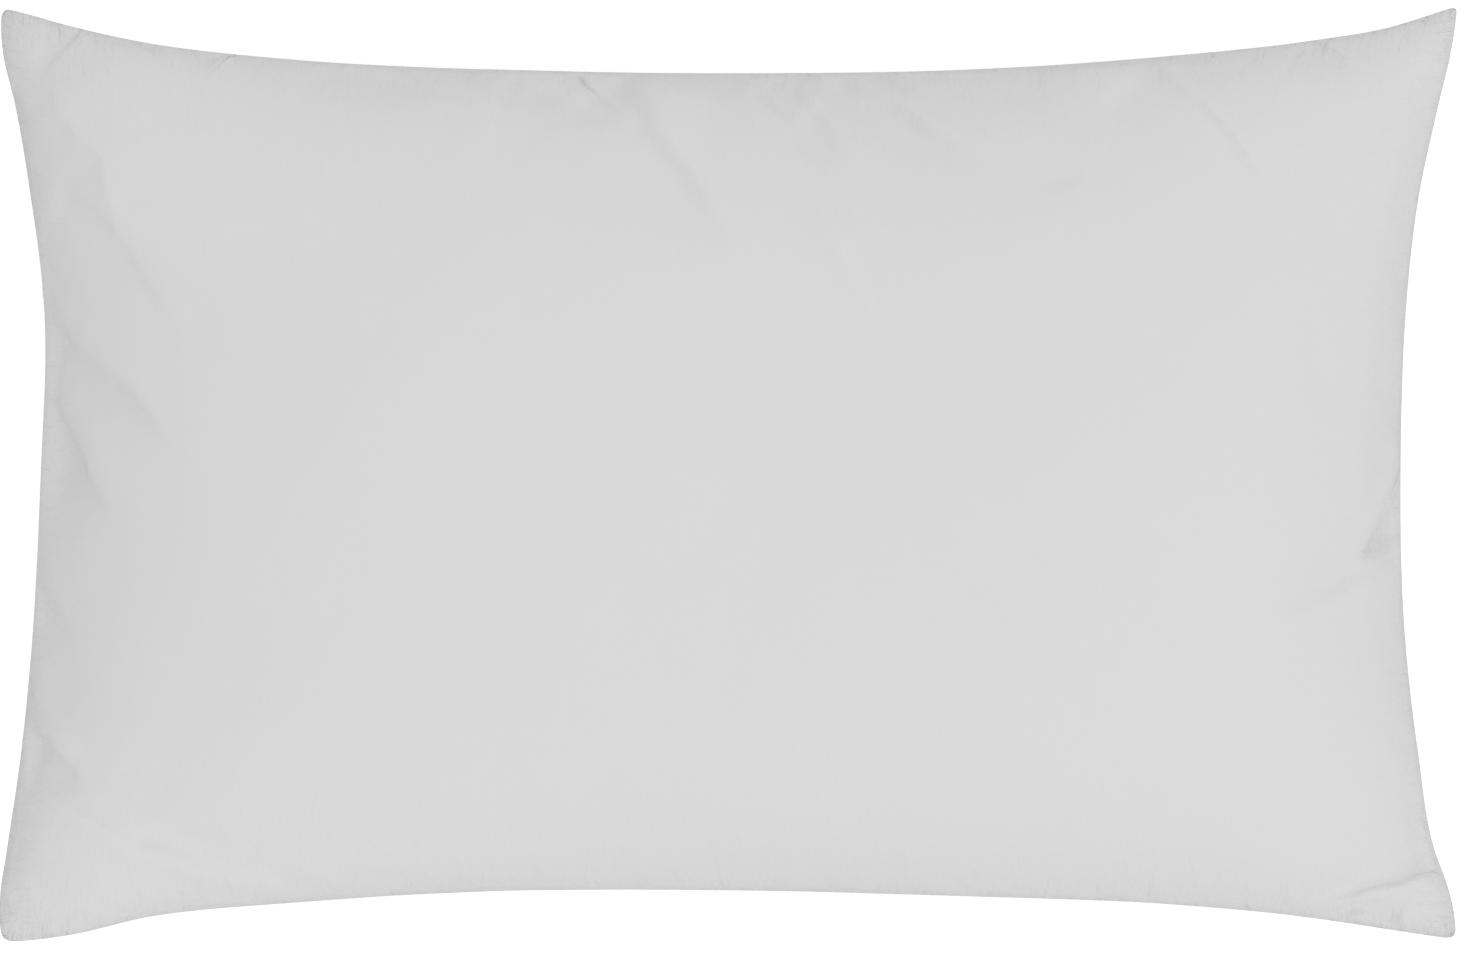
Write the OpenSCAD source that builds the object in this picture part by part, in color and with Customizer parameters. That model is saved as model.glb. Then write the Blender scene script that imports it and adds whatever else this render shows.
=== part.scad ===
// Bed pillow: a two-panel cotton case with knife-edge seams, filled with hollow polyester fibre.
// It lies on its back panel. +X runs along the long sides and +Z points up out of the face.
// The origin is on the surface that the pillow rests on, under its middle.

/* [Case] */
// Length of the filled pillow, from ear to ear
case_length = 724; // [600:1:900]
// Width of the filled pillow, from ear to ear
case_width = 464; // [400:1:600]
// How far the middle of each long side is drawn in by the filling
long_side_bow = 30; // [0:1:40]
// How far the middle of each short side is drawn in by the filling
short_side_bow = 26; // [0:1:40]
// Roundness of the ears: a higher number gives a sharper ear
ear_power = 30; // [12:1:60]
// Thickness of the case cloth
cloth_t = 0.6; // [0.4:0.1:1.0]

/* [Loft] */
// Height of the crown above the seam
crown_height = 94; // [60:1:110]
// Height of the seam above the surface that the pillow rests on
seam_height = 84; // [60:1:100]
// How far the pillow's weight presses its underside flat
settle = 12; // [9:1:20]

/* [Seam] */
// Width of the edge that the turned-in allowances keep flat
edge_w = 3; // [2:0.5:5]
// Width of the turned-in seam allowances
allowance_w = 10; // [8:1:14]
// Diameter of the sewing thread
thread_d = 0.6; // [0.4:0.1:0.8]
// Length of the filling opening in the left end, which is sewn shut after filling
opening_l = 224; // [150:1:300]

/* [Filling] */
// Share of the length and width that the inner core takes up
core_share = 0.62; // [0.40:0.01:0.75]
// Share of the loft that the inner core takes up
core_loft = 0.50; // [0.30:0.01:0.60]

/* [Label] */
// Width of the blank care label
label_w = 30; // [20:1:45]
// Length of the blank care label that hangs below the seam
label_l = 45; // [30:1:55]
// Distance of the label from the middle of the left end, towards the near side
label_y = -150; // [-170:1:-130]

/* [Hidden] */
seam_steps = 30;
seam_gap = thread_d + 0.1;            // room for the thread between the two panels
fold_t = 1.2 * cloth_t;               // cloth turned back on itself at the seam
rim_t = fold_t + cloth_t;
roll = 8;                             // radius of the roll of cloth around the flat underside
drop = seam_height + settle;
trim = 0.05;                          // shaved off the underside so that it is one true plane
clear = 0.4;                          // gap between the case and its filling
fill_inset = allowance_w + 5;         // the filling stops short of the overlocked allowances
fill_rim = 1;                         // half height of the filling's edge
core_gap = 0.3;
panel_cells = [30, 20];
core_cells = [14, 10];
fill_rim_cells = 4;                   // cells between the core's outline and the filling's
thread_sides = 6;

// The loft falls away towards each side: full over the middle, steep at the seam.
function fall(s, p, q) = pow(max(0, 1 - pow(abs(s), p)), q);
function loft(u, v) = fall(u, 2.6, 0.62) * fall(v, 2, 0.6);

// Rounds the corner of the u, v square into an ear.
function ear(u, v) = let (m = max(abs(u), abs(v)))
    m == 0 ? 1 : pow(pow(abs(u) / m, ear_power) + pow(abs(v) / m, ear_power), -1 / ear_power);

// The rounding takes a little off the ears, so the square starts that much larger.
function ear_reach(length, bow) = max([
    for (k = [0:40]) let (s = 1 - k / 200) ear(1, s) * (1 - 2 * bow / length * (1 - s * s))
]);
half_l = case_length / 2 / ear_reach(case_length, short_side_bow);
half_w = case_width / 2 / ear_reach(case_width, long_side_bow);

// Place in plan of a point u, v, with the outline drawn in by inset.
function plan_x(u, v, inset) = u * ear(u, v) * (half_l - inset - short_side_bow * (1 - v * v));
function plan_y(u, v, inset) = v * ear(u, v) * (half_w - inset - long_side_bow * (1 - u * u));

// Presses a height flat at the surface the pillow rests on, with a rounded roll around it.
function pressed(z) = z <= -roll ? 0 : z < roll ? pow(z + roll, 2) / (4 * roll) : z;

// Grid lines across the square crowd towards its sides, where the loft is steep.
function graded(n) = [for (k = [0:n]) sin(90 * (2 * k / n - 1))];
// Lines of the filling: the core's own, then more out to the filling's side.
function past_core(n) = [for (k = [1:n]) core_share + (1 - core_share) * sin(90 * k / n)];
function fill_lines(n) = concat(
    [for (k = [fill_rim_cells - 1:-1:0]) -past_core(fill_rim_cells)[k]],
    graded(n) * core_share,
    past_core(fill_rim_cells)
);
panel_lines = [graded(panel_cells[0]), graded(panel_cells[1])];
core_lines = [graded(core_cells[0]) * core_share, graded(core_cells[1]) * core_share];
filling_lines = [fill_lines(core_cells[0]), fill_lines(core_cells[1])];

// Height of each kind of skin at u, v. The side is 1 for the face and -1 for the back.
function face_z(u, v) = seam_height + seam_gap / 2 + rim_t
    + (crown_height - seam_gap / 2 - rim_t) * loft(u, v);
function face_in_z(u, v) = face_z(u, v) - cloth_t;
function back_z(u, v) = pressed(seam_height - seam_gap / 2 - rim_t - drop * loft(u, v)) - trim;
function back_in_z(u, v) = back_z(u, v) + trim + cloth_t;
function fill_top_z(u, v) = seam_height + fill_rim
    + (crown_height - cloth_t - clear - fill_rim) * loft(u, v);
function fill_low_z(u, v) = pressed(seam_height - fill_rim - (drop - cloth_t) * loft(u, v))
    + (cloth_t + clear) * loft(u, v);

// Half height of the core at u, v: nothing past the core's outline.
function core_rise(u, v, part) =
    core_loft * part * loft(min(1, abs(u) / core_share), min(1, abs(v) / core_share));
function core_top_z(u, v, edge) = seam_height + edge + core_rise(u, v, crown_height);
function core_low_z(u, v, edge) = seam_height - edge - core_rise(u, v, seam_height);

function height(kind, u, v) =
    kind == "face" ? face_z(u, v)
    : kind == "face_in" ? face_in_z(u, v)
    : kind == "back" ? back_z(u, v)
    : kind == "back_in" ? back_in_z(u, v)
    : kind == "fill_top" ? fill_top_z(u, v)
    : kind == "fill_low" ? fill_low_z(u, v)
    : kind == "over_core" ? core_top_z(u, v, core_gap)
    : kind == "under_core" ? core_low_z(u, v, core_gap)
    : kind == "core_top" ? core_top_z(u, v, core_gap / 2)
    : core_low_z(u, v, core_gap / 2);

// A sheet of points over the grid lines, row by row. kind picks the height.
function sheet(kind, lines, inset) = [
    for (v = lines[1]) for (u = lines[0])
        [plan_x(u, v, inset), plan_y(u, v, inset), height(kind, u, v)]
];

// A grid's outer ring, anticlockwise from above: as column and row, as indices, and as points.
function ring_cells(lines) = let (nu = len(lines[0]) - 1, nv = len(lines[1]) - 1) concat(
    [for (i = [0:nu - 1]) [i, 0]],
    [for (j = [0:nv - 1]) [nu, j]],
    [for (i = [nu:-1:1]) [i, nv]],
    [for (j = [nv:-1:1]) [0, j]]
);
function ring_index(lines, start) = [for (c = ring_cells(lines)) start + c[1] * len(lines[0]) + c[0]];
function ring_points(lines, inset, z) = [
    for (c = ring_cells(lines))
        let (u = lines[0][c[0]], v = lines[1][c[1]])
        [plan_x(u, v, inset), plan_y(u, v, inset), z]
];
function run(start, n) = [for (k = [0:n - 1]) start + k];

// Triangles of a sheet that faces up or down, and of the strip between two rings.
function sheet_faces(lines, start, up) = [
    for (j = [0:len(lines[1]) - 2]) for (i = [0:len(lines[0]) - 2])
        let (a = start + j * len(lines[0]) + i, b = a + 1, d = a + len(lines[0]), c = d + 1)
        each up ? [[a, c, b], [a, d, c]] : [[a, b, c], [a, c, d]]
];
function strip_faces(upper, lower) = [
    for (k = [0:len(upper) - 1])
        let (m = (k + 1) % len(upper))
        each [[upper[k], upper[m], lower[m]], [upper[k], lower[m], lower[k]]]
];
function flipped(faces) = [for (f = faces) [f[0], f[2], f[1]]];

// A case panel: its skin, the flat edge, the allowance turned in along the seam and the inside.
module panel(outer, inner, side) {
    n = 2 * (panel_cells[0] + panel_cells[1]);
    count = (panel_cells[0] + 1) * (panel_cells[1] + 1);
    near_z = seam_height + side * seam_gap / 2;
    fold_z = near_z + side * cloth_t;
    edge_z = near_z + side * (rim_t - cloth_t / 4);
    edge = run(count, n);
    rim = run(count + n, n);
    raw_near = run(count + 2 * n, n);
    raw_far = run(count + 3 * n, n);
    points = concat(
        sheet(outer, panel_lines, edge_w),
        ring_points(panel_lines, 0, edge_z),
        ring_points(panel_lines, 0, near_z),
        ring_points(panel_lines, allowance_w, near_z),
        ring_points(panel_lines, allowance_w, fold_z),
        sheet(inner, panel_lines, edge_w + rim_t)
    );
    faces = concat(
        sheet_faces(panel_lines, 0, true),
        strip_faces(ring_index(panel_lines, 0), edge),
        strip_faces(edge, rim),
        strip_faces(rim, raw_near),
        strip_faces(raw_near, raw_far),
        strip_faces(raw_far, ring_index(panel_lines, count + 4 * n)),
        sheet_faces(panel_lines, count + 4 * n, false)
    );
    polyhedron(points, side > 0 ? faces : flipped(faces));
}

// A closed body between an upper and a lower sheet with the same outline.
module between(upper, lower, lines) {
    count = len(lines[0]) * len(lines[1]);
    polyhedron(
        concat(sheet(upper, lines, fill_inset), sheet(lower, lines, fill_inset)),
        concat(
            sheet_faces(lines, 0, true),
            strip_faces(ring_index(lines, 0), ring_index(lines, count)),
            sheet_faces(lines, count, false)
        )
    );
}

// A thread swept along a level path, closed at both ends.
module thread(path, z, d) {
    last = len(path) - 1;
    points = [
        for (k = [0:last])
            let (
                along = path[min(k + 1, last)] - path[max(k - 1, 0)],
                across = [along[1], -along[0]] / norm(along)
            )
            for (s = [0:thread_sides - 1])
                let (a = 360 * (s + 0.5) / thread_sides)
                [
                    path[k][0] + d / 2 * cos(a) * across[0],
                    path[k][1] + d / 2 * cos(a) * across[1],
                    z + d / 2 * sin(a)
                ]
    ];
    rings = [for (k = [0:last]) run(k * thread_sides, thread_sides)];
    walls = [for (k = [0:last - 1]) each strip_faces(rings[k], rings[k + 1])];
    start_cap = [for (s = [thread_sides - 1:-1:0]) rings[0][s]];
    polyhedron(points, concat([start_cap, rings[last]], walls));
}

// Stretches of the seam line, drawn in by inset: along a long side, or along a short end.
function long_side(side, reach, inset) = [
    for (k = [0:seam_steps])
        let (u = reach * sin(90 * (2 * k / seam_steps - 1)))
        [plan_x(u, side, inset), plan_y(u, side, inset)]
];
function short_end(side, from, to, inset) = [
    for (k = [0:seam_steps / 2])
        let (v = from + (to - from) * 2 * k / seam_steps)
        [plan_x(side, v, inset), plan_y(side, v, inset)]
];

stitch_in = 1.6;                      // the seam's stitches lie just inside the turned edge
edge_stitch_in = 2;                   // the closing row runs along the middle of the flat edge
long_reach = 0.985;
end_reach = 0.965;
opening_v = opening_l / case_width;

module face_panel() {
    color("white") panel("face", "face_in", 1);
}

module back_panel() {
    below = 20;
    color("white")
    difference() {
        panel("back", "back_in", -1);
        translate([-half_l, -half_w, -below]) cube([case_length, case_width, below]);
    }
}

// The filling: two carded layers that meet all round the core.
module upper_fibre_layer() {
    color("ghostwhite") between("fill_top", "over_core", filling_lines);
}

module lower_fibre_layer() {
    color("ghostwhite") between("under_core", "fill_low", filling_lines);
}

module fibre_core() {
    color("snow") between("core_top", "core_low", core_lines);
}

module far_side_seam() {
    color("white") thread(long_side(1, long_reach, stitch_in), seam_height, thread_d);
}

module near_side_seam() {
    color("white") thread(long_side(-1, long_reach, stitch_in), seam_height, thread_d);
}

module right_end_seam() {
    color("white") thread(short_end(1, -end_reach, end_reach, stitch_in), seam_height, thread_d);
}

// The case's seam stops at both ends of the filling opening.
module left_end_seam() {
    for (side = [-1, 1])
        color("white")
        thread(short_end(-1, side * opening_v, side * end_reach, stitch_in), seam_height, thread_d);
}

// The closing row lies on the flat edge, above and below, and laps the ends of the opening.
module closing_seam() {
    lap = 1.08;
    stand_off = seam_gap / 2 + rim_t + thread_d / 2;
    row = short_end(-1, -lap * opening_v, lap * opening_v, edge_stitch_in);
    for (side = [-1, 1])
        color("white") thread(row, seam_height + side * stand_off, thread_d);
}

// Overlock thread, a loop of channel section wrapped round both raw edges inside the case.
module overlock_thread() {
    bite = 4;
    wall = thread_d;
    slack = 0.2;
    inner_h = seam_gap / 2 + cloth_t + slack;
    outer_h = inner_h + wall;
    open_in = allowance_w - bite;
    back_in = allowance_w + slack;
    n = 2 * (panel_cells[0] + panel_cells[1]);
    section = [
        [open_in, outer_h], [open_in, inner_h], [back_in, inner_h], [back_in, -inner_h],
        [open_in, -inner_h], [open_in, -outer_h], [back_in + wall, -outer_h], [back_in + wall, outer_h]
    ];
    sides = len(section);
    points = [for (s = section) each ring_points(panel_lines, s[0], seam_height + s[1])];
    faces = [
        for (k = [0:sides - 1])
            each strip_faces(run(k * n, n), run(((k + 1) % sides) * n, n))
    ];
    color("white") polyhedron(points, faces);
}

// Blank care label: caught in the seam of the left end and hanging below it.
module care_label() {
    label_t = 0.3;
    steps = 12;
    swing = 9;                        // how far the label drifts in under the pillow as it hangs
    outside_x = plan_x(-1, label_y / half_w, cloth_t);
    top_z = seam_height - seam_gap / 2 - rim_t;
    front = [for (k = [0:steps]) let (f = k / steps) [outside_x + swing * f * f, top_z - label_l * f]];
    rear = [for (k = [steps:-1:0]) front[k] + [label_t, 0]];
    color("whitesmoke")
    translate([0, label_y + label_w / 2, 0])
    rotate([90, 0, 0])
    linear_extrude(label_w)
    polygon(concat(front, rear));
}

face_panel();
back_panel();
upper_fibre_layer();
lower_fibre_layer();
fibre_core();
far_side_seam();
near_side_seam();
right_end_seam();
left_end_seam();
closing_seam();
overlock_thread();
care_label();
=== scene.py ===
import math

import bpy
import numpy as np
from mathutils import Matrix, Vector, noise


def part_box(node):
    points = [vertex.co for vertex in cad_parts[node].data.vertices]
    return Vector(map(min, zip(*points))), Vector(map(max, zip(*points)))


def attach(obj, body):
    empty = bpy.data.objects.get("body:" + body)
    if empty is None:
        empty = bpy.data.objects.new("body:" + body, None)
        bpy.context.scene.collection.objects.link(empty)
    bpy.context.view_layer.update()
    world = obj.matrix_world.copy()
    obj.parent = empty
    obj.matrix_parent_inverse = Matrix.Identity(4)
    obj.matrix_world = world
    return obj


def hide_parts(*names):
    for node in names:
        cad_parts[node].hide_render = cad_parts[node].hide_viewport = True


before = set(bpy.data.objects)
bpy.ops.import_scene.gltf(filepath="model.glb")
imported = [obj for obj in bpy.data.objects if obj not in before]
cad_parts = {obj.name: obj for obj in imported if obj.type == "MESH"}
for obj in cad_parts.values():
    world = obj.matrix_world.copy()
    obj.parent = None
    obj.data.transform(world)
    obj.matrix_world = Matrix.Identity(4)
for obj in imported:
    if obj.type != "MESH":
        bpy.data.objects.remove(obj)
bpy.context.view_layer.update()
scene = bpy.context.scene

# Where the CAD says things are
seamLow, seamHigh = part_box("far_side_seam")
caseLow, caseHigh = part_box("face_panel")
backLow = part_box("back_panel")[0]
seamZ = (seamLow.z + seamHigh.z) / 2
halfLength = (caseHigh.x - caseLow.x) / 2
halfWidth = (caseHigh.y - caseLow.y) / 2
riseUp = caseHigh.z - seamZ
dropDown = seamZ - backLow.z

caseCloth = {
    "cutLength": 0.740,  # the case laid flat, seam to seam
    "cutWidth": 0.480,
    "thickness": 0.0005,
    "allowance": 0.010,  # turned in all round
    "waistLength": 0.672,  # end to end through the middle, once filled
    "waistWidth": 0.404,
}


def fall(s, p, q):
    return np.maximum(0, 1 - np.abs(s) ** p) ** q


def loftOver(u, v):
    return fall(u, 2.6, 0.62) * fall(v, 2.0, 0.60)


def pressed(z, roll=0.008):
    # flat where the pillow rests, with a soft roll of cloth round the flat
    soft = (z + roll) ** 2 / (4 * roll)
    return np.where(z <= -roll, 0.0, np.where(z < roll, soft, z))


# The case
caseSim = {
    "cell": 0.0065,
    "frames": 26,
    "volume": 0.0322,  # cubic metres of filling
    "push": 4.0,
    "stretch": 40.0,
    "shear": 10,
    "bend": 0.6,
    "mass": 0.3,
    "air": 5,  # damping by the air
    "quality": 8,
    "apart": 0.0005,  # start of each panel off the flat
    "sag": 0.006,  # the underside starts this much lower
    "crowd": 0.6,  # how much closer the rows of cloth lie towards the seam
}


def plumpStart(s, t, side):
    # a filled case before the cloth settles: rows of cloth crowd towards the seam in plan
    k = caseSim["crowd"]
    u = (1 - k) * s + k * np.sin(np.pi * s / 2)
    v = (1 - k) * t + k * np.sin(np.pi * t / 2)
    x = u * (halfLength - (halfLength - caseCloth["waistLength"] / 2) * (1 - v * v))
    y = v * (halfWidth - (halfWidth - caseCloth["waistWidth"] / 2) * (1 - u * u))
    rise = riseUp if side > 0 else dropDown + caseSim["sag"]
    return x, y, side * rise * loftOver(u, v)


def onPattern(s, t):
    # metres on the flat case from -1..1 each way
    return s * caseCloth["cutLength"] / 2, t * caseCloth["cutWidth"] / 2


def gridQuads(index):
    return np.stack([index[:-1, :-1], index[:-1, 1:], index[1:, 1:], index[1:, :-1]], -1).reshape(-1, 4)


def filledCase():
    # both panels as grids of points, blown out from the flat cut by a cloth simulation
    nx = int(round(caseCloth["cutLength"] / caseSim["cell"]))
    ny = int(round(caseCloth["cutWidth"] / caseSim["cell"]))
    s, t = np.meshgrid(np.linspace(-1, 1, nx + 1), np.linspace(-1, 1, ny + 1))
    edge = (np.abs(s) == 1) | (np.abs(t) == 1)
    count = (nx + 1) * (ny + 1)
    upper = np.arange(count).reshape(ny + 1, nx + 1)
    lower = upper.copy()
    lower[~edge] = count + np.arange((~edge).sum())
    flat, plump = [], []
    for side in (1, -1):
        x, y, z = plumpStart(s, t, side)
        keep = np.ones_like(edge) if side > 0 else ~edge
        lay = np.where(edge, 0, caseSim["apart"] * side)
        flat.append(np.stack([*onPattern(s, t), lay], -1)[keep])
        plump.append(np.stack([x, y, z], -1)[keep])
    flat, plump = np.concatenate(flat), np.concatenate(plump)
    faces = []
    for side, grid in ((1, upper), (-1, lower)):
        faces += gridQuads(grid)[:, ::side].tolist()
    co = blownOut(flat, plump, faces)
    return co[upper], co[lower]


def blownOut(flat, plump, faces):
    mesh = bpy.data.meshes.new("caseCloth")
    mesh.from_pydata(flat.tolist(), [], faces)
    obj = bpy.data.objects.new("caseCloth", mesh)
    scene.collection.objects.link(obj)
    rest = obj.shape_key_add(name="flat")
    filled = obj.shape_key_add(name="filled")
    filled.data.foreach_set("co", plump.astype(np.float32).ravel())
    filled.value = 1
    cloth = obj.modifiers.new("cloth", "CLOTH")
    how = cloth.settings
    how.rest_shape_key = rest
    how.quality = caseSim["quality"]
    how.mass = caseSim["mass"]
    how.tension_stiffness = how.compression_stiffness = caseSim["stretch"]
    how.shear_stiffness = caseSim["shear"]
    how.bending_stiffness = caseSim["bend"]
    how.air_damping = caseSim["air"]
    how.use_pressure = True
    how.uniform_pressure_force = 0
    how.use_pressure_volume = True
    how.target_volume = caseSim["volume"]
    how.pressure_factor = caseSim["push"]
    how.effector_weights.gravity = 0
    cloth.collision_settings.use_collision = False
    cloth.point_cache.frame_start = 1
    cloth.point_cache.frame_end = caseSim["frames"]
    scene.frame_start, scene.frame_end = 1, caseSim["frames"]
    for step in range(1, caseSim["frames"] + 1):
        scene.frame_set(step)
    settled = obj.evaluated_get(bpy.context.evaluated_depsgraph_get())
    co = np.empty(len(flat) * 3, np.float32)
    settled.data.vertices.foreach_get("co", co)
    scene.frame_set(1)
    bpy.data.objects.remove(obj)
    bpy.data.meshes.remove(mesh)
    return co.reshape(-1, 3).astype(float)


upperCoarse, lowerCoarse = filledCase()
print("case: cloth filled and settled")


def rowWeights(places, n):
    # Catmull-Rom weights that read n + 1 evenly spaced rows at the given places in -1..1
    at = (places + 1) / 2 * n
    base = np.clip(np.floor(at).astype(int), 0, n - 1)
    f = at - base
    w = np.zeros((len(places), n + 1))
    cubic = (
        (-f + 2 * f**2 - f**3) / 2,
        (2 - 5 * f**2 + 3 * f**3) / 2,
        (f + 4 * f**2 - 3 * f**3) / 2,
        (-(f**2) + f**3) / 2,
    )
    for k, c in enumerate(cubic):
        row = base + k - 1
        first, last = row < 0, row > n
        inside = ~first & ~last
        rows = np.arange(len(places))
        w[rows[inside], row[inside]] += c[inside]
        # past an end the cloth carries on straight
        for past, end, before in ((first, 0, 1), (last, n, n - 1)):
            w[rows[past], end] += 2 * c[past]
            w[rows[past], before] -= c[past]
    return w


panelMesh = {"columns": 336, "rows": 224, "crowd": 0.25}


def crowded(n, k):
    x = np.linspace(-1, 1, n + 1)
    return (1 - k) * x + k * np.sin(np.pi * x / 2)


def resampled(coarse, across, up):
    ny, nx = coarse.shape[0] - 1, coarse.shape[1] - 1
    return np.einsum("jb,bac,ia->jic", rowWeights(up, ny), coarse, rowWeights(across, nx))


across = crowded(panelMesh["columns"], panelMesh["crowd"])
up = crowded(panelMesh["rows"], panelMesh["crowd"])
s, t = np.meshgrid(across, up)
upper = resampled(upperCoarse, across, up)
lower = resampled(lowerCoarse, across, up)
rim = np.zeros(s.shape, bool)
rim[0] = rim[-1] = rim[:, 0] = rim[:, -1] = True
upper[rim] = lower[rim] = ((upper + lower) / 2)[rim]

# Distance in from each side over the cloth, in metres
inLeft, inRight = ((1 + k * s) * caseCloth["cutLength"] / 2 for k in (1, -1))
inNear, inFar = ((1 + k * t) * caseCloth["cutWidth"] / 2 for k in (1, -1))
inward = np.minimum(np.minimum(inLeft, inRight), np.minimum(inNear, inFar))


def smooth(x, low, high):
    f = np.clip((x - low) / (high - low), 0, 1)
    return f * f * (3 - 2 * f)


def ringOf(index):
    return np.concatenate([index[0, :-1], index[:-1, -1], index[-1, :0:-1], index[:0:-1, 0]])


gridIndex = np.arange(s.size).reshape(s.shape)
seamRing = ringOf(gridIndex)

# The outline
outline = {
    # how far in from the full size each side lies at its stations, in millimetres;
    # stations run left to right, or near to far
    "stations": (-1, -0.9, -0.8, -0.6, -0.35, 0, 0.35, 0.6, 0.8, 0.9, 1),
    "left": (0, 0.2, 3.7, 10.7, 16.6, 20.8, 22.6, 15.6, 7.2, 1.2, -0.5),
    "right": (1, 4.7, 12.2, 19.6, 26.1, 28.3, 25.6, 19.1, 8.7, 3.2, -0.5),
    "far": (-1, 9.3, 17.2, 25.7, 30.4, 32.6, 30.4, 24.2, 16.3, 10.3, -1),
    "near": (-1, 3.8, 12.3, 19.7, 25.2, 25.9, 22.7, 19.2, 12.3, 6.8, 1),
    "spread": 1.5,  # how fast the move dies away from each side
}


def drawnIn(w, side):
    # smooth curve through the stations
    x, y = np.array(outline["stations"]), np.array(outline[side]) / 1000
    lean = np.gradient(y, x)
    k = np.clip(np.searchsorted(x, w, side="right") - 1, 0, len(x) - 2)
    step = x[k + 1] - x[k]
    f = (w - x[k]) / step
    start = (1 + 2 * f) * (1 - f) ** 2 * y[k] + f * (1 - f) ** 2 * step * lean[k]
    return start + f * f * (3 - 2 * f) * y[k + 1] + f * f * (f - 1) * step * lean[k + 1]


def fitOutline(grid):
    # slides the cloth in plan until its four sides follow the outline
    out, spread = grid.copy(), outline["spread"]
    level = [line / np.abs(line).max() for line in (out[:, 0, 1], out[:, -1, 1], out[0, :, 0], out[-1, :, 0])]
    left = -halfLength + drawnIn(level[0], "left")
    right = halfLength - drawnIn(level[1], "right")
    near = -halfWidth + drawnIn(level[2], "near")
    far = halfWidth - drawnIn(level[3], "far")
    toLeft, toRight = (left - grid[:, 0, 0])[:, None], (right - grid[:, -1, 0])[:, None]
    toNear, toFar = (near - grid[0, :, 1])[None, :], (far - grid[-1, :, 1])[None, :]
    out[..., 0] += toLeft * ((1 - s) / 2) ** spread + toRight * ((1 + s) / 2) ** spread
    out[..., 1] += toNear * ((1 - t) / 2) ** spread + toFar * ((1 + t) / 2) ** spread
    return out


ears = {
    # blunt is how far the tip is rounded off, x and y how far it reaches, in metres
    (-1, 1): {"blunt": 0.55, "x": 0.3619, "y": 0.2318},
    (1, 1): {"blunt": 0.30, "x": 0.3619, "y": 0.2320},
    (-1, -1): {"blunt": 0.85, "x": 0.3619, "y": 0.2318},
    (1, -1): {"blunt": 0.80, "x": 0.3608, "y": 0.2295},
}
earSmooth = {"passes": 60, "near": 0.022, "gone": 0.060}
earDraw = {"passes": 3, "near": 0.03, "gone": 0.11}


def atEar(a, b, near, gone):
    away = np.hypot((1 - a * s) * caseCloth["cutLength"] / 2, (1 - b * t) * caseCloth["cutWidth"] / 2)
    return 1 - smooth(away, near, gone)


def roundEars(grid):
    # relaxes the cloth round each tip, then draws the ear out to its full reach again
    out = grid.copy()
    amount = sum(e["blunt"] * atEar(a, b, earSmooth["near"], earSmooth["gone"]) for (a, b), e in ears.items())
    amount = amount[..., None]
    for k in range(earSmooth["passes"]):
        mean = out.copy()
        mean[1:-1, 1:-1] = (out[:-2, 1:-1] + out[2:, 1:-1] + out[1:-1, :-2] + out[1:-1, 2:]) / 4
        flat, ring = mean.reshape(-1, 3), out.reshape(-1, 3)[seamRing]
        flat[seamRing] = (np.roll(ring, 1, 0) + np.roll(ring, -1, 0)) / 2
        out += amount * (mean - out)
    for k in range(earDraw["passes"]):
        for (a, b), ear in ears.items():
            mine = rim & (a * s > 0) & (b * t > 0)
            draw = atEar(a, b, earDraw["near"], earDraw["gone"])
            out[..., 0] += a * (ear["x"] - (a * out[..., 0])[mine].max()) * draw
            out[..., 1] += b * (ear["y"] - (b * out[..., 1])[mine].max()) * draw
    return out


upper, lower = (roundEars(fitOutline(grid)) for grid in (upper, lower))
crown = {"full": 1.35}  # above 1 fills the shoulders and flattens the middle
topHeight = upper[..., 2].max()
rise = np.clip(upper[..., 2] / topHeight, 0, 1)
fuller = topHeight * (1 - (1 - rise) ** crown["full"])
upper[..., 2] = np.where(rise > 0, fuller, upper[..., 2])
upper[rim] = lower[rim] = ((upper + lower) / 2)[rim]


# Folds and puckers
def rippled(x, y, scale, seed, octaves=2):
    # soft noise over the cloth, about -1 to 1
    flat = np.empty(x.size)
    for k, (a, b) in enumerate(zip(x.ravel(), y.ravel())):
        flat[k] = noise.fractal(Vector((a / scale, b / scale, seed)), 1.0, 2.0, octaves)
    return flat.reshape(x.shape)


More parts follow.
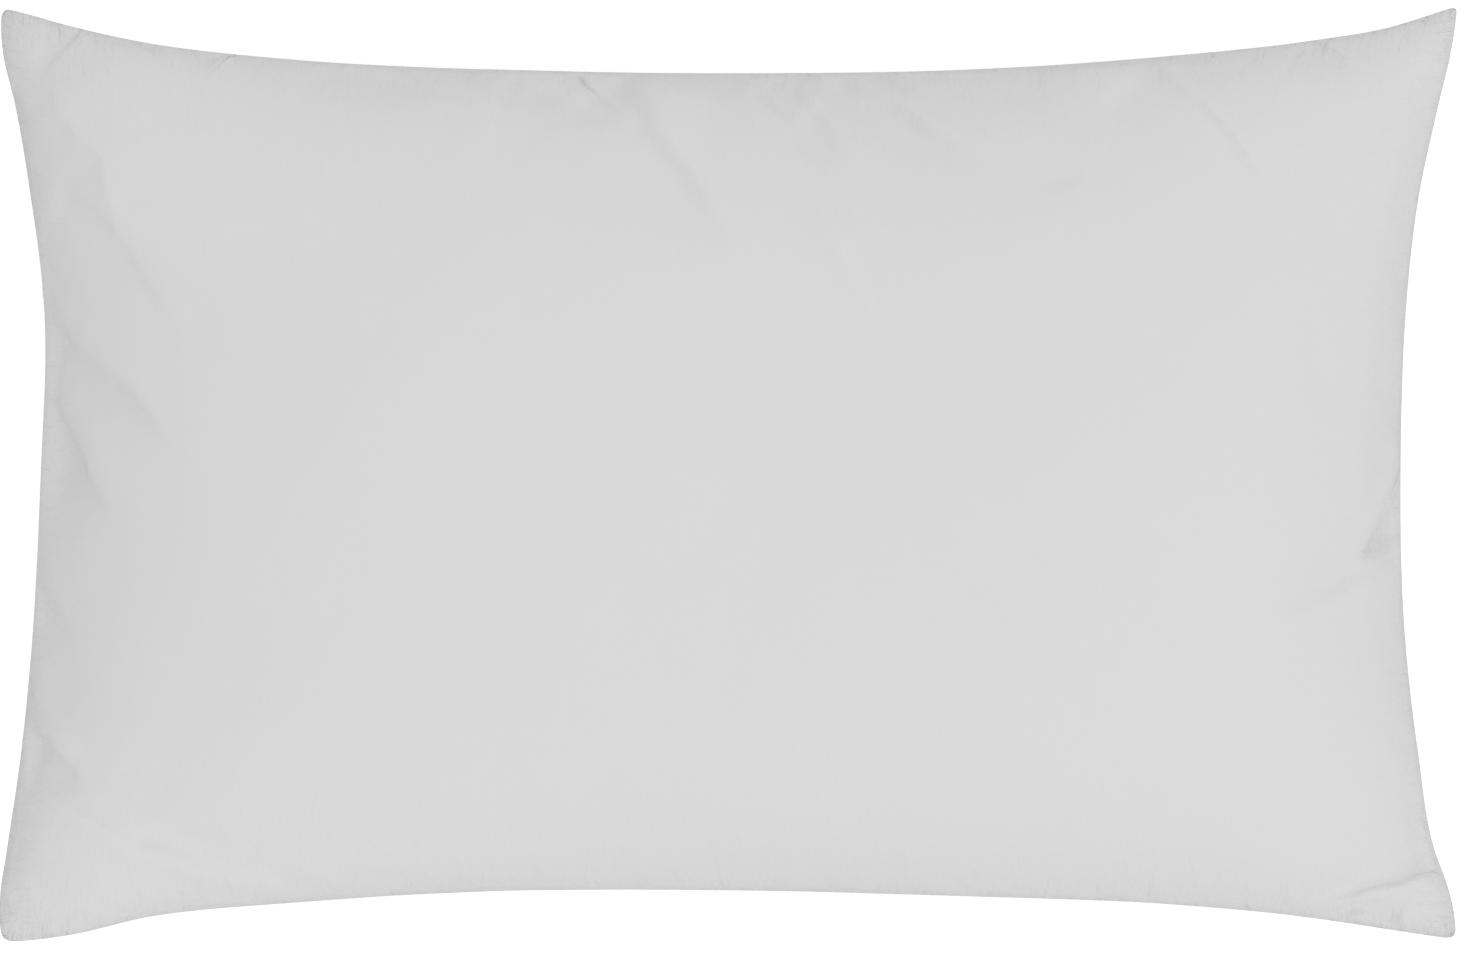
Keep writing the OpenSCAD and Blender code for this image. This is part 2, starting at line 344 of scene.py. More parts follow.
# Folds of the face, each a run of points in millimetres from the middle of the pillow.
# wide and deep are in millimetres. A fold is crisp along its run and soft on one side of it:
# side is 1 for the left going along the run, 0 for a soft trough or ridge, else the right.
# A tent is a crisp crest, steep on that side, where the filling stops short of the seam.
faceFolds = [
    # far side, from left to right
    {"run": [(-320, 222), (-327, 211), (-338, 196)], "wide": 5, "deep": 1.6},
    {"run": [(-246, 210), (-258, 194)], "wide": 5, "deep": 1.6},
    {"run": [(-205, 206), (-170, 192), (-140, 186)], "wide": 14, "deep": 2.4, "side": 0},
    {"run": [(-98, 201), (-72, 194), (-58, 180), (-47, 170)], "wide": 5, "deep": 2.8},
    {"run": [(-110, 200), (-80, 192), (-62, 178)], "wide": 10, "deep": 2.8},
    {"run": [(-54, 202), (-34, 168), (4, 112)], "wide": 11, "deep": 4.2},
    {"run": [(-46, 202), (-30, 190), (-4, 180)], "wide": 13, "tent": 3.4, "side": 1},
    {"run": [(12, 202), (36, 161), (60, 112), (88, 50)], "wide": 6, "deep": -2.6},
    {"run": [(26, 202), (46, 176), (62, 150)], "wide": 7, "deep": 3.0},
    {"run": [(34, 202), (54, 190)], "wide": 4, "deep": 2.4},
    {"run": [(50, 201), (84, 181), (126, 152)], "wide": 8, "deep": 4.2},
    {"run": [(74, 202), (94, 190)], "wide": 4, "deep": 2.4},
    {"run": [(140, 206), (200, 192), (230, 168), (268, 132)], "wide": 16, "tent": 4.6},
    {"run": [(204, 206), (240, 170), (272, 128)], "wide": 9, "deep": 3.4},
    {"run": [(172, 151), (214, 67)], "wide": 9, "deep": -1.8},
    {"run": [(284, 219), (312, 202)], "wide": 4.5, "deep": 2.2},
    # left end, from the far ear down
    {"run": [(-344, 206), (-326, 180), (-304, 154), (-299, 130), (-302, 104)], "wide": 21, "tent": 7.6},
    {"run": [(-326, 146), (-305, 128), (-284, 100), (-262, 64)], "wide": 10, "deep": 2.0},
    {"run": [(-340, 84), (-318, 62), (-296, 44), (-266, 16)], "wide": 11, "deep": 4.6},
    {"run": [(-346, 54), (-322, 18), (-300, -22)], "wide": 15, "deep": 6.5},
    {"run": [(-350, -36), (-336, -60), (-318, -80)], "wide": 10, "deep": 2.4},
    {"run": [(-358, -90), (-340, -126), (-314, -154)], "wide": 13, "deep": 6.0},
    {"run": [(-344, -150), (-290, -182), (-205, -208)], "wide": 9, "deep": 3.4, "side": 1},
    # right end and its near ear
    {"run": [(344, 28), (328, -14), (309, -42)], "wide": 9, "deep": 6.5, "side": 1},
    {"run": [(342, -28), (326, -36), (304, -43)], "wide": 4, "deep": -2.8, "side": 1},
    {"run": [(338, -42), (306, -54), (266, -71)], "wide": 8, "deep": 3.0},
    {"run": [(352, -196), (322, -205), (276, -214)], "wide": 6, "deep": 3.8},
    {"run": [(330, -226), (312, -217), (294, -220)], "wide": 4, "deep": 2.8},
]
foldLie = {
    "wander": 0.0022,  # how far a run strays, and over what length
    "scale": 0.022,
    "root": 1.15,  # width where a fold starts
    "taper": 0.55,  # how much of it is gone at the inner tip
    "lip": 0.22,  # raised edge beside the crisp line
    "seam": (0.003, 1.4, 0.024),  # a fold fades this near the seam: least, per width, most
}


def foldOver(grid, folds, seed):
    # how far each fold lifts or sinks the cloth
    lift = np.zeros(s.shape)
    x, y = grid[..., 0], grid[..., 1]
    xw = x + foldLie["wander"] * rippled(x, y, foldLie["scale"], seed)
    yw = y + foldLie["wander"] * rippled(x, y, foldLie["scale"], seed + 7)
    least, perWidth, most = foldLie["seam"]
    for fold in folds:
        points = np.array(fold["run"], float) / 1000
        wide, deep = fold["wide"] / 1000, fold.get("deep", fold.get("tent")) / 1000
        side = fold.get("side", -1)
        steps = np.linalg.norm(np.diff(points, axis=0), axis=1)
        total = steps.sum()
        best = np.full(s.shape, 9.0)
        signed, along = np.zeros(s.shape), np.zeros(s.shape)
        start = 0.0
        for a, b, step in zip(points[:-1], points[1:], steps):
            d = (b - a) / step
            f = np.clip((xw - a[0]) * d[0] + (yw - a[1]) * d[1], 0, step)
            dx, dy = xw - (a[0] + f * d[0]), yw - (a[1] + f * d[1])
            gap = np.hypot(dx, dy)
            closer = gap < best
            best = np.where(closer, gap, best)
            signed = np.where(closer, gap * np.sign(d[0] * dy - d[1] * dx), signed)
            along = np.where(closer, (start + f) / total, along)
            start += step
        # narrower and shallower towards its inner tip
        width = wide * (foldLie["root"] - foldLie["taper"] * along)
        strength = smooth(along, -0.01, 0.30 if "tent" in fold else 0.10)
        strength = strength * (1 - smooth(along, 0.5, 1.0)) ** 0.7
        strength = strength * smooth(inward, 0.0, min(most, least + perWidth * wide))
        u = side * signed / width
        if "tent" in fold:
            shape = -np.where(u > 0, np.exp(-np.maximum(u, 0)), np.exp(np.minimum(u, 0) / 2.5))
        elif side:
            lip = -foldLie["lip"] * np.exp(-((u + 0.6) ** 2) * 3) * (u < 0)
            shape = np.where(u > 0, u * np.exp(1 - np.clip(u, 0, 30)), lip)
            # starts at the height of the lip
            shape = np.where(u > 0, shape - 0.0747 * np.exp(-u * 4), shape)
        else:
            shape = np.exp(-((best / width) ** 2))
        lift -= deep * strength * shape
    return lift


puckers = {
    "scale": 0.019,  # spacing of the gathers along the seam
    "reach": 0.020,  # how far they run in from it
    "high": 0.0011,
    "slant": 0.55,  # they run off to the right as they leave the seam
}


def gathered(seed):
    # short gathers that fan in from each seam, some strong and most faint
    total = np.zeros(s.shape)
    x, y = onPattern(s, t)
    sides = ((inFar, x, 1, 1.0), (inNear, x, -1, 0.6), (inLeft, y, -1, 1.2), (inRight, y, 1, 0.9))
    for k, (depth, w, lean, strong) in enumerate(sides):
        run = w - lean * puckers["slant"] * depth
        wave = rippled(run, depth * 0.25, puckers["scale"], seed + 3.1 * k)
        patchy = smooth(rippled(run, depth * 0.1, puckers["scale"] * 5, seed + 40 + k), -0.35, 0.6)
        fade = np.exp(-depth / puckers["reach"]) * smooth(depth, 0.0, 0.004)
        total += strong * puckers["high"] * wave * (0.25 + patchy) * fade * 2
    return total


clothLie = {
    "broad": (0.150, 0.0022),  # scale and height of the filling's broad swells
    "lumps": (0.048, 0.00055),  # faint lumps of fibre
    "crimp": (0.0075, 0.00003),
}


def swells(seed):
    x, y = onPattern(s, t)
    quiet = smooth(inward, 0.0, 0.05)
    total = np.zeros(s.shape)
    for k, (scale, high) in enumerate(clothLie.values()):
        total += high * rippled(x, y, scale, seed + 11 * k, 2) * (quiet if k == 0 else 0.3 + 0.7 * quiet)
    return total


def gridNormals(points):
    n = np.cross(np.gradient(points, axis=1), np.gradient(points, axis=0))
    return n / np.maximum(np.linalg.norm(n, axis=2, keepdims=True), 1e-9)


seamLie = {"scale": 0.085, "wave": 0.0022, "near": 0.035}
earLift = {(-1, 1): -0.012, (1, 1): -0.003, (-1, -1): -0.008, (1, -1): 0.001}


def seamDrift():
    # the seam isn't level: it wanders up and down, and each ear has its own lift
    drift = seamLie["wave"] * rippled(upper[..., 0], upper[..., 1], seamLie["scale"], 21.0)
    drift *= np.exp(-inward / seamLie["near"])
    for (a, b), lift in earLift.items():
        drift += lift * np.clip(a * s, 0, 1) ** 6 * np.clip(b * t, 0, 1) ** 4
    return drift


allowance = {
    "fold": 0.0006,  # half the thickness of the pinched edge
    "room": 0.0017,  # half thickness over the turned-in allowances
    "roomFade": (0.012, 0.030),
    "gap": 0.00008,  # half the gap between the two allowances
    "turn": 0.0003,  # how far in the cloth turns back
    "crotch": 0.0009,  # how far in the inside starts
    "mitre": 0.62,  # depth gained per distance from an ear
}
opening = {
    "half": 0.112,  # half the length of the filling opening
    "rowIn": 0.0032,  # how far in from the edge the closing row runs
    "flat": 0.0014,  # half thickness there
    "slope": 0.62,  # how fast the cloth may rise further in
}


def pinchOpening(upper, lower):
    # the row that closes the opening holds the cloth flat beside the edge
    middle = (upper[..., 2] + lower[..., 2]) / 2
    closed = 1 - smooth(np.abs(upper[..., 1]), opening["half"] - 0.010, opening["half"] + 0.030)
    limit = opening["flat"] + opening["slope"] * np.maximum(inLeft - opening["rowIn"], 0)
    for grid, side in ((upper, 1), (lower, -1)):
        half = np.maximum(side * (grid[..., 2] - middle), 0)
        pinched = half * limit / (half**4 + limit**4 + 1e-15) ** 0.25
        grid[..., 2] = middle + side * (half * (1 - closed) + pinched * closed)


def keepRoom(upper, lower):
    # leaves room between the panels for the turned-in allowances
    middle = (upper[..., 2] + lower[..., 2]) / 2
    fade = 1 - smooth(inward, *allowance["roomFade"])
    room = allowance["room"] * (1 - np.exp(-inward / 0.0012)) * fade
    for grid, side in ((upper, 1), (lower, -1)):
        half = np.sqrt((side * (grid[..., 2] - middle)) ** 2 + room**2)
        grid[..., 2] = middle + side * np.maximum(half, allowance["fold"])


pinchOpening(upper, lower)
upper += gridNormals(upper) * (foldOver(upper, faceFolds, 5.0) + gathered(2.0) + swells(9.0))[..., None]
lower -= gridNormals(lower) * (gathered(63.0) + swells(37.0))[..., None]
drift = seamDrift()
upper[..., 2] += drift
lower[..., 2] += drift
upper[rim] = lower[rim] = ((upper + lower) / 2)[rim]
keepRoom(upper, lower)
for grid in (upper, lower):
    grid[..., 2] = pressed(grid[..., 2] + seamZ)
print("case: folds and gathers laid in")


# Meshes
def meshPiece(name, verts, faces, material, lay=None):
    mesh = bpy.data.meshes.new(name)
    mesh.from_pydata(np.asarray(verts).tolist(), [], [list(map(int, f)) for f in faces])
    mesh.polygons.foreach_set("use_smooth", [True] * len(mesh.polygons))
    if lay is not None:
        spots = mesh.attributes.new("lay", "FLOAT_VECTOR", "POINT")
        spots.data.foreach_set("vector", np.asarray(lay, np.float32).ravel())
    mesh.materials.append(material)
    mesh.validate()
    obj = bpy.data.objects.new(name, mesh)
    scene.collection.objects.link(obj)
    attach(obj, "root")
    return obj


def stripQuads(ringA, ringB):
    nextA, nextB = np.roll(ringA, -1), np.roll(ringB, -1)
    return np.stack([ringA, nextA, nextB, ringB], -1)


def ringInward(ring):
    # level direction into the pillow at each point of the seam
    ahead = np.roll(ring, -3, 0) - np.roll(ring, 3, 0)
    n = np.stack([-ahead[:, 1], ahead[:, 0], np.zeros(len(ring))], -1)
    return n / np.linalg.norm(n, axis=1, keepdims=True)


def mitred(ring, depth):
    # how deep an allowance can be near each ear, where two of them meet
    steps = np.linalg.norm(np.roll(ring, -1, 0) - ring, axis=1)
    run = np.concatenate([[0], np.cumsum(steps)])
    corners = np.cumsum([0] + [panelMesh["columns"], panelMesh["rows"]] * 2)
    away = np.min([np.abs(run[:-1] - run[c]) for c in corners], 0)
    return np.minimum(depth, 0.0005 + allowance["mitre"] * away)


seamLine = ((upper + lower) / 2).reshape(-1, 3)[seamRing]
seamIn = ringInward(seamLine)
seamDeep = mitred(seamLine, caseCloth["allowance"])
layFlat = np.stack([*onPattern(s, t), np.zeros(s.shape)], -1)


def panelPiece(name, grid, side, material):
    # the cloth's outside, its turned-in allowance and its inside, as one closed skin
    # the inside is a mesh of half as many rows
    thick, gap = caseCloth["thickness"], allowance["gap"]
    count, n = s.size, len(seamRing)
    up3 = np.array([0, 0, side])
    coarse = np.arange(s[::2, ::2].size).reshape(s[::2, ::2].shape)

    def ring(into, high):
        return seamLine + seamIn * np.reshape(into, (-1, 1)) + up3 * high

    inside = (grid - side * gridNormals(grid) * thick)[::2, ::2].reshape(-1, 3)
    inside[ringOf(coarse)] = ring(allowance["crotch"], 0.0001 + thick * 1.2)[::2]
    rings = [ring(allowance["turn"], gap), ring(seamDeep, gap), ring(seamDeep, gap + thick)]
    verts = np.concatenate([grid.reshape(-1, 3), *rings, inside])
    ids = [seamRing] + [count + k * n + np.arange(n) for k in range(3)]
    walls = [stripQuads(a, b)[:, ::-1] for a, b in zip(ids[:-1], ids[1:])]
    last, crotch = ids[-1], count + 3 * n + ringOf(coarse)
    turn = [last[::2], last[1::2], np.roll(last, -2)[::2], np.roll(crotch, -1), crotch]
    quads = np.concatenate([gridQuads(gridIndex), *walls, gridQuads(count + 3 * n + coarse)[:, ::-1]])
    faces = quads.tolist() + np.stack(turn, -1)[:, ::-1].tolist()
    if side < 0:
        faces = [f[::-1] for f in faces]
    flatRing = layFlat.reshape(-1, 3)[seamRing]
    insideLay = layFlat[::2, ::2].reshape(-1, 3)
    lay = np.concatenate([layFlat.reshape(-1, 3), flatRing, flatRing, flatRing, insideLay])
    return meshPiece(name, verts, faces, material, lay)


def threadPiece(name, runs, radius, material, sides=6):
    # every run is a short length of thread; all of them make one piece
    verts, faces = [], []
    turn = 2 * np.pi * np.arange(sides) / sides
    for run in runs:
        run = np.asarray(run)
        ahead = np.gradient(run, axis=0)
        ahead /= np.maximum(np.linalg.norm(ahead, axis=1, keepdims=True), 1e-9)
        across = np.cross(ahead, [0.03, 0.02, 1.0])
        across /= np.maximum(np.linalg.norm(across, axis=1, keepdims=True), 1e-9)
        over = np.cross(across, ahead)
        first = sum(len(v) for v in verts)
        size = radius * np.ones(len(run))
        size[0] = size[-1] = radius * 0.45
        out = np.cos(turn)[:, None] * across[:, None] + np.sin(turn)[:, None] * over[:, None]
        verts.append((run[:, None] + size[:, None, None] * out).reshape(-1, 3))
        index = first + np.arange(len(run) * sides).reshape(len(run), sides)
        for a, b in zip(index[:-1], index[1:]):
            faces += stripQuads(a, b)[:, ::-1].tolist()
        faces += [index[0].tolist(), index[-1][::-1].tolist()]
    return meshPiece(name, np.concatenate(verts), faces, material)


# Materials
def link(tree, a, b):
    tree.links.new(a, b)


def node(tree, kind, **settings):
    made = tree.nodes.new(kind)
    for key, value in settings.items():
        setattr(made, key, value)
    return made


def feed(tree, made, **sockets):
    # sets each named input, or links it where a socket is given; _ stands for a space
    for name, value in sockets.items():
        into = made.inputs[name.replace("_", " ")]
        if isinstance(value, bpy.types.NodeSocket):
            link(tree, value, into)
        else:
            into.default_value = value
    return made


def math2(tree, op, a, b, clamp=False):
    made = node(tree, "ShaderNodeMath", operation=op, use_clamp=clamp)
    for socket, value in zip(made.inputs, (a, b)):
        if isinstance(value, (int, float)):
            socket.default_value = value
        elif value is not None:
            link(tree, value, socket)
    return made.outputs[0]


def newMaterial(name, **values):
    mat = bpy.data.materials.new(name)
    mat.use_nodes = True
    tree = mat.node_tree
    return mat, tree, feed(tree, tree.nodes["Principled BSDF"], **values)


def newGroup(name, vectors, numbers, results):
    # an empty node group with its named inputs and outputs
    group = bpy.data.node_groups.new(name, "ShaderNodeTree")
    for label in vectors:
        group.interface.new_socket(label, in_out="INPUT", socket_type="NodeSocketVector")
    for label in numbers:
        group.interface.new_socket(label, in_out="INPUT", socket_type="NodeSocketFloat")
    for label in results:
        group.interface.new_socket(label, in_out="OUTPUT", socket_type="NodeSocketFloat")
    return group, node(group, "NodeGroupInput"), node(group, "NodeGroupOutput")


def plainWeave():
    # over-and-under weave: threads of one way stand up where the other way dips; its Shade paints shade into
    # those dips, over the threads' own uneven tone
    group, enter, leave = newGroup("plainWeave", ["Vector"], ["Pitch", "Slub"], ["Height", "Shade"])
    slub = node(group, "ShaderNodeTexNoise")
    feed(group, slub, Vector=enter.outputs["Vector"], Scale=420, Detail=2)
    split = feed(group, node(group, "ShaderNodeSeparateXYZ"), Vector=enter.outputs["Vector"])
    wobble = math2(group, "MULTIPLY", math2(group, "SUBTRACT", slub.outputs[0], 0.5), enter.outputs["Slub"])
    waves = []
    for axis in (0, 1):
        turns = math2(group, "DIVIDE", split.outputs[axis], enter.outputs["Pitch"])
        waves.append(math2(group, "ADD", math2(group, "MULTIPLY", turns, math.pi), wobble))
    sines = [math2(group, "ABSOLUTE", math2(group, "SINE", w, None), None) for w in waves]
    halves = [math2(group, "SINE", math2(group, "ADD", w, math.pi / 2), None) for w in waves]
    check = math2(group, "MULTIPLY", math2(group, "MULTIPLY", *halves), 0.5)
    over = math2(group, "MULTIPLY", sines[0], math2(group, "ADD", check, 0.5))
    under = math2(group, "MULTIPLY", sines[1], math2(group, "SUBTRACT", 0.5, check))
    high = math2(group, "MAXIMUM", over, under)
    uneven = math2(group, "MULTIPLY", slub.outputs[0], 0.4)
    # painted shade: the colour is lighter on the raised threads and darker in the dips between them, plus the
    # slub's uneven tone
    shade = math2(group, "ADD", math2(group, "MULTIPLY", high, 0.6), uneven)
    feed(group, leave, Height=high, Shade=shade)
    return group


def softMottle():
    # slow change of shade, such as washed cloth has
    group, enter, leave = newGroup("softMottle", ["Vector"], ["Scale", "Amount"], ["Fac"])
    cloud = node(group, "ShaderNodeTexNoise")
    feed(group, cloud, Vector=enter.outputs["Vector"], Scale=enter.outputs["Scale"], Detail=4, Roughness=0.6)
    swing = math2(group, "MULTIPLY", math2(group, "SUBTRACT", cloud.outputs[0], 0.5), enter.outputs["Amount"])
    feed(group, leave, Fac=math2(group, "ADD", swing, 0.5, True))
    return group


def seamCrinkle():
    # small crinkles that run square to each seam and fade away from it
    numbers = ["Half Length", "Half Width", "Reach", "Scale"]
    group, enter, leave = newGroup("seamCrinkle", ["Vector"], numbers, ["Height"])
    where, reach = enter.outputs["Vector"], enter.outputs["Reach"]
    split = feed(group, node(group, "ShaderNodeSeparateXYZ"), Vector=where)
    parts = []
    for axis, half, squash in (("X", "Half Length", (0.28, 1, 1)), ("Y", "Half Width", (1, 0.28, 1))):
        place = math2(group, "ABSOLUTE", split.outputs[axis], None)
        depth = math2(group, "SUBTRACT", enter.outputs[half], place)
        fade = math2(group, "DIVIDE", reach, math2(group, "ADD", depth, reach))
        lie = node(group, "ShaderNodeMapping")
        feed(group, lie, Vector=where, Scale=squash, Rotation=(0, 0, 0.45))
        ruck = node(group, "ShaderNodeTexNoise")
        feed(group, ruck, Vector=lie.outputs[0], Scale=enter.outputs["Scale"])
        feed(group, ruck, Detail=3, Roughness=0.55, Distortion=0.6)
        parts.append(math2(group, "MULTIPLY", ruck.outputs[0], math2(group, "POWER", fade, 1.6)))
    feed(group, leave, Height=math2(group, "ADD", *parts))
    return group


def creaseLine():
    # one sharp crease from a place, deepest where it starts; negative depth makes a crest
    vectors, numbers = ["Vector", "From", "Turn"], ["Length", "Width", "Depth", "Height"]
    group, enter, leave = newGroup("creaseLine", vectors, numbers, ["Height"])
    got = enter.outputs
    onRun = node(group, "ShaderNodeMapping", vector_type="TEXTURE")
    feed(group, onRun, Vector=got["Vector"], Location=got["From"], Rotation=got["Turn"])
    split = feed(group, node(group, "ShaderNodeSeparateXYZ"), Vector=onRun.outputs[0])
    f = math2(group, "DIVIDE", split.outputs["X"], got["Length"], True)
    past = math2(group, "SUBTRACT", split.outputs["X"], math2(group, "MULTIPLY", f, got["Length"]))
    aside = math2(group, "POWER", split.outputs["Y"], 2)
    squared = math2(group, "ADD", aside, math2(group, "POWER", past, 2))
    gap = math2(group, "DIVIDE", math2(group, "SQRT", squared, None), got["Width"])
    cut = math2(group, "EXPONENT", math2(group, "MULTIPLY", gap, -1), None)
    deep = math2(group, "MULTIPLY", math2(group, "SUBTRACT", 1, f), got["Depth"])
    feed(group, leave, Height=math2(group, "SUBTRACT", got["Height"], math2(group, "MULTIPLY", cut, deep)))
    return group


weaveGroup, mottleGroup, crinkleGroup, creaseGroup = plainWeave(), softMottle(), seamCrinkle(), creaseLine()


def use(tree, group, **sockets):
    return feed(tree, node(tree, "ShaderNodeGroup", node_tree=group), **sockets)


def shaded(tree, look, factor):
    # colour between the look's dark and light
    mix = node(tree, "ShaderNodeMix", data_type="RGBA")
    return feed(tree, mix, A=look["dark"], B=look["light"], Factor=factor).outputs["Result"]


def bumped(tree, height, **sockets):
    return feed(tree, node(tree, "ShaderNodeBump"), Height=height, **sockets).outputs[0]


cottonLook = {
    "dark": (0.690, 0.690, 0.688, 1),
    "light": (0.735, 0.735, 0.733, 1),
    "pitch": 0.00055,  # thread spacing in metres
    "roughness": 0.88,
    "sheen": 0.12,
    "bump": 0.00006,  # height of one thread over the next, in metres
    "crinkle": 0.0031,  # height of the seam crinkles, in metres
}
satinLook = {
    "dark": (0.74, 0.74, 0.735, 1),
    "light": (0.84, 0.84, 0.835, 1),
    "pitch": 0.0004,
    "roughness": 0.42,
    "sheen": 0.3,
    "bump": 0.00003,
    "crinkle": 0.0,
}
wovenMake = {
    "slub": 1.6,  # unevenness of the threads
    "mottle": (14, 0.5),  # scale and amount of the slow change of shade
    "shares": (0.55, 0.45),  # how much the weave's painted dip shade and the mottle colour the cloth
    "rucks": ((130, 1.0), (420, 0.28)),  # scale and share of the coarse and fine crinkles
    "reach": 0.03,  # how far in from a seam the crinkles last
    "swing": (55, 0.006),  # scale and width of a crease's wander
}

# Sharp creases pressed into the face: start, end, width and depth, all in millimetres
faceCreases = [
    ((-318, 224), (-335, 200), 1.3, 1.1),
    ((-244, 211), (-257, 195), 1.1, 1.3),
    ((-94, 202), (-69, 193), 1.6, 1.0),
    ((-74, 196), (-46, 170), 1.5, 1.1),
    ((-43, 202), (-20, 186), 1.6, 1.0),
    ((34, 202), (53, 191), 1.3, 1.1),
    ((78, 201), (92, 192), 1.2, 0.9),
    ((284, 218), (307, 204), 1.2, 0.9),
    ((341, 20), (311, -41), 2.0, 2.2),
    ((350, -195), (280, -214), 1.8, 1.1),
    ((326, -225), (297, -217), 1.2, 1.1),
]


def creased(tree, relief, creases):
    # adds the creases to the relief, each wandering a little off its line
    scale, wide = wovenMake["swing"]
    place = node(tree, "ShaderNodeTexCoord").outputs["Object"]
    wander = feed(tree, node(tree, "ShaderNodeTexNoise"), Vector=place, Scale=scale, Detail=1)
    swing = node(tree, "ShaderNodeVectorMath", operation="MULTIPLY_ADD")
    swing.inputs[1].default_value = (wide, wide, 0)
    link(tree, wander.outputs["Color"], swing.inputs[0])
    link(tree, place, swing.inputs[2])
    for start, end, width, deep in creases:
        run = Vector(end) - Vector(start)
        crease = use(tree, creaseGroup, Vector=swing.outputs[0], Height=relief)
        # half of the swing is taken back, so the crease stays where it is laid
        begin = (start[0] / 1000 + wide / 2, start[1] / 1000 + wide / 2, 0)
        feed(tree, crease, From=begin, Turn=(0, 0, math.atan2(run.y, run.x)))
        feed(tree, crease, Length=run.length / 1000, Width=width / 1000, Depth=deep / 1000)
        relief = crease.outputs["Height"]
    return relief


def wovenMaterial(name, look, attribute, creases=()):
    mat, tree, shader = newMaterial(name, Roughness=look["roughness"], Sheen_Weight=look["sheen"])
    feed(tree, shader, Sheen_Roughness=0.5, Specular_IOR_Level=0.25)
    if attribute:
        spot = node(tree, "ShaderNodeAttribute", attribute_name="lay").outputs["Vector"]
    else:
        spot = node(tree, "ShaderNodeTexCoord").outputs["Object"]
    weave = use(tree, weaveGroup, Vector=spot, Pitch=look["pitch"], Slub=wovenMake["slub"])
    scale, amount = wovenMake["mottle"]
    mottle = use(tree, mottleGroup, Vector=spot, Scale=scale, Amount=amount)
    # the colour mixes painted shade in the weave's dips with the random mottle of tone
    inWeave, inMottle = wovenMake["shares"]
    cloudy = math2(tree, "MULTIPLY", mottle.outputs["Fac"], inMottle)
    blend = math2(tree, "ADD", math2(tree, "MULTIPLY", weave.outputs["Shade"], inWeave), cloudy, True)
    feed(tree, shader, Base_Color=shaded(tree, look, blend))
    relief = 0
    halves = {"Half_Length": caseCloth["cutLength"] / 2, "Half_Width": caseCloth["cutWidth"] / 2}
    for scale, share in wovenMake["rucks"]:
        crinkle = use(tree, crinkleGroup, Vector=spot, Reach=wovenMake["reach"], Scale=scale, **halves)
        ruck = math2(tree, "MULTIPLY", crinkle.outputs["Height"], look["crinkle"] * share)
        relief = math2(tree, "ADD", ruck, relief)
    if creases:
        relief = creased(tree, relief, creases)
    rough = bumped(tree, relief, Distance=1)
    fine = bumped(tree, weave.outputs["Height"], Strength=0.5, Distance=look["bump"], Normal=rough)
    feed(tree, shader, Normal=fine)
    return mat


threadLook = {
    "dark": (0.66, 0.66, 0.655, 1),
    "light": (0.80, 0.80, 0.795, 1),
    "twist": 1500,
    "roughness": 0.6,
}


def threadMaterial(look):
    mat, tree, shader = newMaterial("spunThread", Roughness=look["roughness"], Sheen_Weight=0.2)
    where = node(tree, "ShaderNodeTexCoord").outputs["Object"]
    ply = node(tree, "ShaderNodeTexWave", wave_type="BANDS", bands_direction="DIAGONAL")
    twist = feed(tree, ply, Vector=where, Scale=look["twist"], Distortion=1.5).outputs["Fac"]
    # painted shade: the colour follows the twist's bands, darker in the grooves between plies where the bump
    # dips
    feed(tree, shader, Base_Color=shaded(tree, look, twist))
    feed(tree, shader, Normal=bumped(tree, twist, Strength=0.6, Distance=0.0001))
    return mat


fibreLook = {"dark": (0.70, 0.70, 0.69, 1), "light": (0.86, 0.86, 0.85, 1), "roughness": 0.95}


def fibreMaterial(look):
    mat, tree, shader = newMaterial("hollowFibre", Roughness=look["roughness"], Sheen_Weight=0.35)
    where = node(tree, "ShaderNodeTexCoord").outputs["Object"]
    stretch = feed(tree, node(tree, "ShaderNodeMapping"), Vector=where, Scale=(60, 240, 240))
    hair = node(tree, "ShaderNodeTexNoise")
    feed(tree, hair, Vector=stretch.outputs[0], Scale=1, Detail=6, Distortion=2.5)
    # painted shade: the colour is darker where the strands' bump is low, between the strands
    feed(tree, shader, Base_Color=shaded(tree, look, hair.outputs[0]))
    feed(tree, shader, Normal=bumped(tree, hair.outputs[0], Distance=0.002))
    return mat


caseCotton = wovenMaterial("caseCotton", cottonLook, True)
creasedCotton = wovenMaterial("creasedCotton", cottonLook, True, faceCreases)
spunThread = threadMaterial(threadLook)
hollowFibre = fibreMaterial(fibreLook)
labelSatin = wovenMaterial("labelSatin", satinLook, False)
print("materials: cotton, thread, fibre and satin made")

# Case panels
face = panelPiece("facePanel", upper, 1, creasedCotton)
back = panelPiece("backPanel", lower, -1, caseCotton)
for panel, nodeName in ((face, "face_panel"), (back, "back_panel")):
    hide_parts(nodeName)
print("case: face and back panels built")


# Seams
def onCloth(grid, sAt, tAt):
    # point of the cloth at pattern place s, t, each -1 to 1
    fx = np.interp(sAt, across, np.arange(len(across)))
    fy = np.interp(tAt, up, np.arange(len(up)))
    i, j = np.minimum(fx.astype(int), len(across) - 2), np.minimum(fy.astype(int), len(up) - 2)
    a, b = (fx - i)[:, None], (fy - j)[:, None]
    low = grid[j, i] * (1 - a) + grid[j, i + 1] * a
    high = grid[j + 1, i] * (1 - a) + grid[j + 1, i + 1] * a
    return low * (1 - b) + high * b


stitches = {"step": 0.0030, "long": 0.0023, "thread": 0.00019, "deep": 0.0007, "slope": 0.00012}
seamMid = (upper + lower) / 2
sideRuns = {
    "far": (seamMid[-1], caseCloth["cutLength"], (0, -1, 0)),
    "near": (seamMid[0], caseCloth["cutLength"], (0, 1, 0)),
    "right": (seamMid[:, -1], caseCloth["cutWidth"], (-1, 0, 0)),
    "left": (seamMid[:, 0], caseCloth["cutWidth"], (1, 0, 0)),
}


